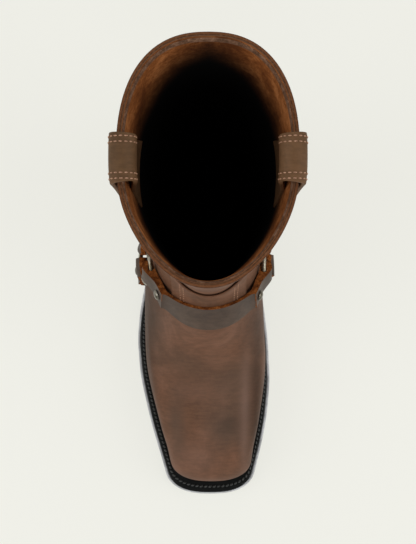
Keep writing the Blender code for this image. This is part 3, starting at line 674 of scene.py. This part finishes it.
def sewRows(pieceName, rows, surface, thread, stitch, slot):
    # one stitch is modelled, then copied along each row and laid on the surface
    bpy.ops.object.select_all(action="DESELECT")
    bpy.ops.mesh.primitive_uv_sphere_add(segments=stitchShape["segments"], ring_count=stitchShape["rings"],
                                         radius=0.5)
    pattern = bpy.context.object
    copies = []
    for line, closed in rows:
        places = smoothLine([Vector(p) for p in line], closed, stitch["step"])
        for k, place in enumerate(places):
            after = places[(k + 1) % len(places)] if closed else places[min(k + 1, len(places) - 1)]
            before = places[k - 1] if (closed or k) else places[0]
            spot, normal, _, away = surface.find_nearest(place)
            if spot is None or away > stitchShape["reach"]:
                continue
            along = after - before
            along -= normal * along.dot(normal)
            if along.length < 1e-7:
                continue
            along.normalize()
            across = normal.cross(along)
            turned = math.radians(stitch.get("slant", 0.0))
            along, across = (along * math.cos(turned) + across * math.sin(turned),
                             across * math.cos(turned) - along * math.sin(turned))
            spin = Matrix((along, across, normal)).transposed().to_4x4()
            size = Matrix.Diagonal((stitch["length"], stitch["width"], stitch["height"], 1.0))
            copyOf = pattern.copy()
            copyOf.data = pattern.data.copy()
            copyOf.data.transform(Matrix.Translation(spot + normal * stitch["lift"]) @ spin @ size)
            bpy.context.scene.collection.objects.link(copyOf)
            copies.append(copyOf)
    bpy.data.objects.remove(pattern)
    for piece in copies:
        piece.matrix_world = Matrix.Identity(4)
        piece.select_set(True)
    bpy.context.view_layer.objects.active = copies[0]
    bpy.ops.object.join()
    sewn = bpy.context.object
    sewn.name = pieceName
    sewn.data.materials.clear()
    sewn.data.materials.append(thread)
    bpy.ops.object.shade_smooth()
    finishPiece(sewn, slot)


# Upper: vamp and shaft in one skin, with the collar's cut edge and the folds

upperPlan = {
    "wall": 0.0028,
    "levels": 2,
    "sharp": 60.0,
    "edgeWidth": 0.0007,
    "rimBand": 0.0016,  # depth below the collar's top that counts as its cut edge
    "rimSlope": 0.35,
    "sideSlope": 0.5,
    "shareDepth": 0.004,
    "toe": {
        "middle": 0.0050, "wideFrom": -0.112, "wideFull": -0.142, "widen": 0.09, "top": 0.080,
        "tipFrom": -0.126, "tipShare": 0.86,
    },
    "folds": [
        {"path": [(-0.030, -0.020, 0.068), (0.000, -0.028, 0.075), (0.036, -0.018, 0.066)],
         "width": 0.0060, "depth": 0.0008},
        {"path": [(-0.036, -0.052, 0.040), (-0.012, -0.060, 0.055),
                  (0.016, -0.061, 0.055), (0.040, -0.050, 0.040)],
         "width": 0.0075, "depth": 0.0008},
        {"path": [(-0.042, 0.040, 0.100), (-0.040, 0.070, 0.112),
                  (-0.036, 0.110, 0.118), (-0.018, 0.142, 0.120)],
         "width": 0.0070, "depth": 0.0014},
        {"path": [(0.048, 0.045, 0.104), (0.046, 0.075, 0.116),
                  (0.040, 0.112, 0.122), (0.022, 0.142, 0.124)],
         "width": 0.0070, "depth": 0.0014},
        {"path": [(-0.043, 0.055, 0.140), (-0.042, 0.085, 0.152), (-0.036, 0.118, 0.150)],
         "width": 0.0085, "depth": 0.0011},
        {"path": [(0.046, 0.060, 0.148), (0.047, 0.090, 0.158), (0.040, 0.122, 0.152)],
         "width": 0.0085, "depth": 0.0011},
        {"path": [(0.028, 0.136, 0.098), (0.004, 0.146, 0.102), (-0.020, 0.136, 0.096)],
         "width": 0.0060, "depth": 0.0010},
        {"path": [(-0.041, 0.100, 0.178), (-0.024, 0.136, 0.186), (0.006, 0.152, 0.184)],
         "width": 0.0100, "depth": 0.0009},
    ],
    # spots of colour, painted highlights and painted shade among them: x, y, z, wide, long, high, amount
    "greyPatch": [
        (-0.007, -0.038, 0.060, 0.022, 0.016, 0.030, 0.75),
        (0.024, -0.052, 0.055, 0.016, 0.020, 0.030, 0.75),
        (-0.022, -0.093, 0.045, 0.008, 0.026, 0.030, 0.65),
        (0.018, -0.094, 0.045, 0.018, 0.016, 0.030, 0.80),
        (-0.040, 0.000, 0.050, 0.014, 0.040, 0.040, 0.60),
    ],
    # painted highlights: the light band on the vamp's right, the line across the toe and spots on the vamp's
    # middle; the spot high on the shaft front makes it paler
    "lightPatch": [
        (0.0335, -0.080, 0.045, 0.0042, 0.052, 0.040, 0.75),
        (-0.006, -0.120, 0.040, 0.020, 0.016, 0.020, 0.45),
        (-0.010, -0.064, 0.055, 0.018, 0.010, 0.030, 0.30),
        (0.002, -0.010, 0.080, 0.026, 0.014, 0.030, 0.35),
        (0.004, -0.138, 0.026, 0.022, 0.0045, 0.014, 0.60),
        (0.004, 0.040, 0.230, 0.050, 0.040, 0.060, 0.30),
    ],
    # painted shade along both sides of the vamp and beside the strap ends; the small spot on the vamp's
    # middle is a darker tone
    "darkPatch": [
        (0.0430, -0.060, 0.040, 0.0055, 0.070, 0.050, 0.70),
        (0.020, -0.092, 0.045, 0.014, 0.010, 0.030, 0.35),
        (-0.046, -0.050, 0.035, 0.007, 0.070, 0.050, 0.55),
        (0.036, -0.006, 0.070, 0.012, 0.018, 0.030, 0.55),
        (-0.040, 0.010, 0.060, 0.010, 0.030, 0.050, 0.45),
    ],
}
patchNames = ("greyPatch", "lightPatch", "darkPatch")


def easeBetween(value, low, high):
    share = min(max((value - low) / (high - low), 0.0), 1.0)
    return share * share * (3 - 2 * share)


def squareToe(piece, toe):
    # the photo's toe is squarer than a loft makes it: its corners go out and its tip back
    for vertex in piece.data.vertices:
        place = vertex.co
        if place.y < toe["wideFrom"] and place.z < toe["top"]:
            share = easeBetween(-place.y, -toe["wideFrom"], -toe["wideFull"])
            place.x = toe["middle"] + (place.x - toe["middle"]) * (1 + toe["widen"] * share)
        if place.y < toe["tipFrom"]:
            place.y = toe["tipFrom"] + (place.y - toe["tipFrom"]) * toe["tipShare"]


bootUpper = copyNode("upper", "bootUpper")
smoothPiece(bootUpper, upperPlan["levels"], sharp=upperPlan["sharp"], edgeWidth=upperPlan["edgeWidth"])
squareToe(bootUpper, upperPlan["toe"])
pressFolds(bootUpper, upperPlan["folds"])
for patchName in patchNames:
    paintSpots(bootUpper, patchName, upperPlan[patchName])
for finish in (oiledLeather, liningSuede, rimEdge):
    bootUpper.data.materials.append(finish)
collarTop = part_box("upper")[1].z
for polygon in bootUpper.data.polygons:
    # inner faces take the lining suede, with its painted shade
    if facesInwards(polygon.center, polygon.normal):
        polygon.material_index = 1
    if polygon.center.z > collarTop - upperPlan["rimBand"] and polygon.normal.z > upperPlan["rimSlope"]:
        polygon.material_index = 2

# how far through the wall each vertex near the collar lies, for the bands of its cut edge
upperMesh = cadNodes["upper"].data
outerPolygons = [tuple(polygon.vertices) for polygon in upperMesh.polygons
                 if abs(polygon.normal.z) < upperPlan["sideSlope"]
                 and not facesInwards(polygon.center, polygon.normal)]
outerFace = BVHTree.FromPolygons([vertex.co.copy() for vertex in upperMesh.vertices], outerPolygons)
wallShares = []
for vertex in bootUpper.data.vertices:
    share = 0.5
    if vertex.co.z > collarTop - upperPlan["shareDepth"]:
        share = min(outerFace.find_nearest(vertex.co)[3] / upperPlan["wall"], 1.0)
    wallShares.append(share)
bootUpper.data.attributes.new("wallShare", "FLOAT", "POINT").data.foreach_set("value", wallShares)
finishPiece(bootUpper, "upper_leather", "upper")
upperSurface = surfaceTree(bootUpper)
print("upper made")

# Lining: a sheet of suede inside the shaft, its edge beside the collar's

liningPlan = {
    "thickness": 0.0018,
    "gap": 0.00015,
    "bottom": 0.118,
    "drop": 0.0006,
    "sideSlope": 0.75,
    "rimRound": 0.0006,
    "rimAngle": 60.0,
    "bindingDepth": 0.0050,
    "levels": 1,
}


def makeLining(plan):
    lining = copyNode("upper", "shaftLining")
    smoothPiece(lining, plan["levels"])
    for polygon in lining.data.polygons:
        inside = facesInwards(polygon.center, polygon.normal)
        upright = abs(polygon.normal.z) < plan["sideSlope"]
        polygon.select = not (inside and upright and polygon.center.z > plan["bottom"])
    for vertex in lining.data.vertices:
        vertex.select = False
    for edge in lining.data.edges:
        edge.select = False
    bpy.ops.object.mode_set(mode="EDIT")
    bpy.ops.mesh.select_mode(type="FACE")
    bpy.ops.mesh.delete(type="FACE")
    bpy.ops.mesh.select_all(action="SELECT")
    bpy.ops.transform.translate(value=(0.0, 0.0, -plan["drop"]))
    bpy.ops.object.mode_set(mode="OBJECT")
    wall = lining.modifiers.new("wall", "SOLIDIFY")
    wall.thickness = plan["thickness"]
    wall.offset = 1.0
    wall.use_even_offset = True
    rim = lining.modifiers.new("rim", "BEVEL")
    rim.width = plan["rimRound"]
    rim.segments = meshPlan["bevelSegments"]
    rim.limit_method = "ANGLE"
    rim.angle_limit = math.radians(plan["rimAngle"])
    smooth = lining.modifiers.new("smooth", "SUBSURF")
    smooth.levels = plan["levels"]
    smooth.render_levels = plan["levels"]
    applyModifiers(lining)
    for vertex in lining.data.vertices:
        inwards = nearestOnCore(vertex.co) - vertex.co
        inwards.z = 0.0
        vertex.co += inwards.normalized() * plan["gap"]
    bpy.ops.object.shade_smooth()
    lining.data.materials.append(liningSuede)
    lining.data.materials.append(liningBinding)
    for polygon in lining.data.polygons:
        if polygon.center.z > collarTop - plan["bindingDepth"]:
            polygon.material_index = 1
    finishPiece(lining, "lining_leather")


makeLining(liningPlan)
print("lining made")

# Harness straps, with rust-coloured cut edges

strapPlan = {
    "names": ["instep_strap", "heel_strap", "side_strap_medial", "side_strap_lateral"],
    "levels": 2,
    "sharp": 55.0,
    "edgeWidth": 0.00045,
    "edgeLimit": 0.55,  # a face turned this far off the boot's surface is a cut edge
}


def camelName(nodeName):
    first, *rest = nodeName.split("_")
    return first + "".join(word.capitalize() for word in rest)


for nodeName in strapPlan["names"]:
    strap = copyNode(nodeName, camelName(nodeName))
    smoothPiece(strap, strapPlan["levels"], sharp=strapPlan["sharp"], edgeWidth=strapPlan["edgeWidth"])
    strap.data.materials.append(strapLeather)
    strap.data.materials.append(rawEdge)
    for polygon in strap.data.polygons:
        _, normal, _, _ = upperSurface.find_nearest(polygon.center)
        if abs(normal.dot(polygon.normal)) < strapPlan["edgeLimit"]:
            polygon.material_index = 1
    finishPiece(strap, "strap_leather", nodeName)
print("straps made")

# Rings and rivets

fittingPlan = {
    "ring": {"finish": agedNickel, "crease": 0.0},
    "rivet": {"finish": darkNickel, "crease": 0.55},
}
fittingShape = {"levels": 2, "sharp": 60.0}
for nodeName in sorted(cadNodes):
    kind = nodeName.split("_")[0]
    if kind in fittingPlan:
        fitting = copyNode(nodeName, camelName(nodeName))
        smoothPiece(fitting, crease=fittingPlan[kind]["crease"], **fittingShape)
        fitting.data.materials.append(fittingPlan[kind]["finish"])
        finishPiece(fitting, "nickel", nodeName)
print("rings and rivets made")

# Pull straps, counter and instep pad

overlayPlan = {
    "pull_strap_medial": {"finish": loopLeather, "edgeWidth": 0.0006},
    "pull_strap_lateral": {"finish": loopLeather, "edgeWidth": 0.0006},
    "heel_counter": {"finish": oiledLeather, "edgeWidth": 0.0004},
    "instep_pad": {"finish": oiledLeather, "edgeWidth": 0.0011},
}
overlayShape = {"levels": 2, "sharp": 55.0}
overlays = {}
for nodeName, plan in overlayPlan.items():
    overlay = copyNode(nodeName, camelName(nodeName))
    smoothPiece(overlay, edgeWidth=plan["edgeWidth"], **overlayShape)
    for patchName in patchNames:  # no patches here, but the upper's finish reads them
        paintSpots(overlay, patchName, [])
    overlay.data.materials.append(plan["finish"])
    finishPiece(overlay, "upper_leather", nodeName)
    overlays[nodeName] = overlay
print("overlays made")

# Sole: welt, outsole, insole and heel

solePlan = {
    "middleX": 0.003,
    "spineEnd": 0.110,
    "sideSlope": 0.5,
    "edgeSlope": 0.6,
    "beadStep": 0.0025,
    "beadRadius": 0.0013,
    "beadShare": 0.11,
    "stitchShare": 0.40,
}
weltShape = {"levels": 2, "sharp": 40.0, "crease": 0.75}
blockShape = {"levels": 2, "sharp": 40.0, "crease": 0.85}
outsoleShape = {"levels": 2, "sharp": 35.0, "crease": 1.0}


def edgeLine(piece, share, plan=solePlan):
    # points on the piece's upper face, a share of the way from its outer edge to the upper
    mesh = piece.data
    outwards, upwards = set(), set()
    for polygon in mesh.polygons:
        spineY = min(max(polygon.center.y, -plan["spineEnd"]), plan["spineEnd"])
        spine = Vector((plan["middleX"], spineY, polygon.center.z))
        if polygon.normal.z > plan["sideSlope"]:
            upwards.update(polygon.vertices)
        elif (polygon.center - spine).dot(polygon.normal) > 0 and abs(polygon.normal.z) < plan["sideSlope"]:
            outwards.update(polygon.vertices)
    line = []
    for index in outwards & upwards:
        edge = mesh.vertices[index].co
        line.append(edge.lerp(upperSurface.find_nearest(edge)[0], share))
    line.sort(key=lambda p: math.atan2(p.y, p.x - plan["middleX"]))
    return line


def layBead(pieceName, line, finish, slot, plan=solePlan):
    # a round bead along a closed line: a circle reshaped to it, turned to a curve and back
    places = smoothLine(line, True, plan["beadStep"])
    bpy.ops.object.select_all(action="DESELECT")
    bpy.ops.mesh.primitive_circle_add(vertices=len(places), radius=0.1)
    bead = bpy.context.object
    bead.name = pieceName
    for vertex, place in zip(bead.data.vertices, places):
        vertex.co = place
    bpy.ops.object.convert(target="CURVE")
    bead = bpy.context.object
    bead.data.bevel_depth = plan["beadRadius"]
    bead.data.bevel_resolution = 2
    bpy.ops.object.convert(target="MESH")
    bead = bpy.context.object
    bpy.ops.object.shade_smooth()
    bead.data.materials.clear()
    bead.data.materials.append(finish)
    finishPiece(bead, slot)


weltPiece = copyNode("welt", "weltStrip")
weltStitchLine = edgeLine(weltPiece, solePlan["stitchShare"])
smoothPiece(weltPiece, **weltShape)
weltPiece.data.materials.append(weltBlack)
finishPiece(weltPiece, "welt_leather", "welt")

for nodeName, pieceName, finish, slot in (
    # the footbed takes the lining suede too, painted black with shade this deep in the boot
    ("insole", "footbed", liningSuede, "lining_leather"),
    ("heel_stack", "heelStack", stackBlack, "welt_leather"),
    ("top_lift", "topLift", soleRubber, "sole_rubber"),
):
    block = copyNode(nodeName, pieceName)
    smoothPiece(block, **blockShape)
    block.data.materials.append(finish)
    finishPiece(block, slot, nodeName)

outsolePiece = copyNode("outsole", "outsoleRubber")
# a light grey bead along the outsole's top edge: painted highlight, the pale floor's reflection on the edge
layBead("outsoleEdge", edgeLine(outsolePiece, solePlan["beadShare"]), greyRubber, "sole_rubber")
smoothPiece(outsolePiece, **outsoleShape)
outsolePiece.data.materials.append(soleRubber)
# side faces: lighter as painted highlight of the floor's reflection, and glossier
outsolePiece.data.materials.append(soleEdge)
for polygon in outsolePiece.data.polygons:
    if abs(polygon.normal.z) < solePlan["edgeSlope"]:
        polygon.material_index = 1
finishPiece(outsolePiece, "sole_rubber", "outsole")
print("sole made")

# Stitching

weltStitch = {
    "step": 0.0037, "length": 0.0032, "width": 0.0018, "height": 0.0014, "lift": 0.0002, "slant": 24.0,
}
loopStitch = {"step": 0.0029, "length": 0.0021, "width": 0.0008, "height": 0.0007, "lift": 0.0001}
panelStitch = {"step": 0.0028, "length": 0.0020, "width": 0.0007, "height": 0.0006, "lift": 0.0001}
weltSurface = surfaceTree(weltPiece)
sewRows("weltStitches", [(weltStitchLine, True)], weltSurface, blackThread, weltStitch, "welt_leather")


def dropLine(surface, places, way, far=0.2):
    # the points where rays from far out meet the surface
    line = []
    for place in places:
        hit = surface.ray_cast(Vector(place) - Vector(way) * far, Vector(way))[0]
        if hit:
            line.append(hit)
    return line


loopPlan = {
    "asides": (-0.0112, -0.0082, 0.0082, 0.0112),
    "legHeights": (0.246, 0.254, 0.262, 0.270, 0.278, 0.286, 0.294, 0.302),
    "archDegrees": range(10, 176, 15),
    "archOut": 0.0012,
    "archUp": 0.0050,
    "legFar": 0.10,
    "archFar": 0.03,
}


def loopLines(nodeName, surface, side, plan):
    # rays find the loop's outer face up its outer leg, over the arch and down to the inner leg
    low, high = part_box(nodeName)
    middleY = (low.y + high.y) / 2
    archX = (low.x + high.x) / 2 + side * plan["archOut"]
    archZ = collarTop + plan["archUp"]
    lines = []
    for aside in plan["asides"]:
        y = middleY + aside
        legPlaces = [(0.0, y, z) for z in plan["legHeights"]]
        line = dropLine(surface, legPlaces, (-side, 0.0, 0.0), plan["legFar"])
        for degrees in plan["archDegrees"]:
            angle = math.radians(degrees)
            inwards = (-side * math.cos(angle), 0.0, -math.sin(angle))
            line += dropLine(surface, [(archX, y, archZ)], inwards, plan["archFar"])
        lines.append((line, False))
    return lines


for nodeName, side in (("pull_strap_medial", 1), ("pull_strap_lateral", -1)):
    surface = surfaceTree(overlays[nodeName])
    rows = loopLines(nodeName, surface, side, loopPlan)
    sewRows(camelName(nodeName) + "Stitches", rows, surface, tanThread, loopStitch, "upper_leather")

padSewing = {"acrossX": (-0.0165, -0.0140, 0.0225, 0.0250), "bottom": 0.122, "rise": 0.003, "count": 12}
padHeights = [padSewing["bottom"] + padSewing["rise"] * k for k in range(padSewing["count"])]
padSurface = surfaceTree(overlays["instep_pad"])
padRows = []
for x in padSewing["acrossX"]:
    padRows.append((dropLine(padSurface, [(x, 0.0, z) for z in padHeights], (0.0, 1.0, 0.0)), False))
sewRows("padStitches", padRows, padSurface, tanThread, panelStitch, "upper_leather")

shaftSewing = {"alongY": (0.0885, 0.0935), "bottom": 0.120, "rise": 0.008, "count": 14}
shaftHeights = [shaftSewing["bottom"] + shaftSewing["rise"] * k for k in range(shaftSewing["count"])]
shaftRows = []
for side in (-1.0, 1.0):
    for y in shaftSewing["alongY"]:
        places = [(0.0, y, z) for z in shaftHeights]
        shaftRows.append((dropLine(upperSurface, places, (-side, 0.0, 0.0)), False))
sewRows("shaftStitches", shaftRows, upperSurface, tanThread, panelStitch, "upper_leather")
print("stitches made")

# Stage: floor, light and camera

stagePlan = {
    "floorSize": 30.0,
    "floorColour": (0.855, 0.855, 0.795),
    "floorGlow": 0.80,
    "floorBase": (0.20, 0.20, 0.186),
    "floorRoughness": 0.9,
    "cameraPlace": (0.0036, 0.0306, 0.790),
    "lens": 59.6,
    "sensor": 36.0,
    "worldColour": (1.0, 0.995, 0.98),
    "worldStrength": 0.32,
}

bpy.ops.object.select_all(action="DESELECT")
bpy.ops.mesh.primitive_plane_add(size=stagePlan["floorSize"])
floor = bpy.context.object
floor.name = "floor"
floorMaterial, _, floorShader = startMaterial("paleFloor")
floorShader.inputs["Base Color"].default_value = (*stagePlan["floorBase"], 1.0)
floorShader.inputs["Roughness"].default_value = stagePlan["floorRoughness"]
floorShader.inputs["Specular IOR Level"].default_value = 0.0
floorShader.inputs["Emission Color"].default_value = (*stagePlan["floorColour"], 1.0)
floorShader.inputs["Emission Strength"].default_value = stagePlan["floorGlow"]
floor.data.materials.append(floorMaterial)

world = bpy.data.worlds.new("studio")
bpy.context.scene.world = world
world.use_nodes = True
sky = world.node_tree.nodes["Background"]
sky.inputs["Color"].default_value = (*stagePlan["worldColour"], 1.0)
sky.inputs["Strength"].default_value = stagePlan["worldStrength"]

softboxes = [
    # name, place, aim, width, height, watts
    ("softboxLeft", (-1.10, -0.10, 1.00), (0.0, -0.03, 0.05), 0.9, 1.4, 8.0),
    ("softboxRight", (1.10, -0.10, 1.00), (0.0, -0.03, 0.05), 0.9, 1.4, 8.0),
    ("softboxToe", (0.0, -1.30, 0.90), (0.0, -0.05, 0.05), 1.2, 0.7, 6.0),
    ("softboxHeel", (0.0, 1.40, 1.10), (0.0, 0.05, 0.15), 1.2, 0.7, 4.0),
]
for name, place, aim, width, height, watts in softboxes:
    light = bpy.data.lights.new(name, "AREA")
    light.shape = "RECTANGLE"
    light.size = width
    light.size_y = height
    light.energy = watts
    lamp = bpy.data.objects.new(name, light)
    lamp.location = place
    lamp.rotation_euler = (Vector(aim) - Vector(place)).to_track_quat("-Z", "Y").to_euler()
    bpy.context.scene.collection.objects.link(lamp)

cameraData = bpy.data.cameras.new("camera")
cameraData.lens = stagePlan["lens"]
cameraData.sensor_width = stagePlan["sensor"]
camera = bpy.data.objects.new("camera", cameraData)
camera.location = stagePlan["cameraPlace"]
bpy.context.scene.collection.objects.link(camera)
bpy.context.scene.camera = camera
bpy.context.scene.view_settings.view_transform = "Standard"
bpy.context.scene.view_settings.look = "None"
print("stage set")
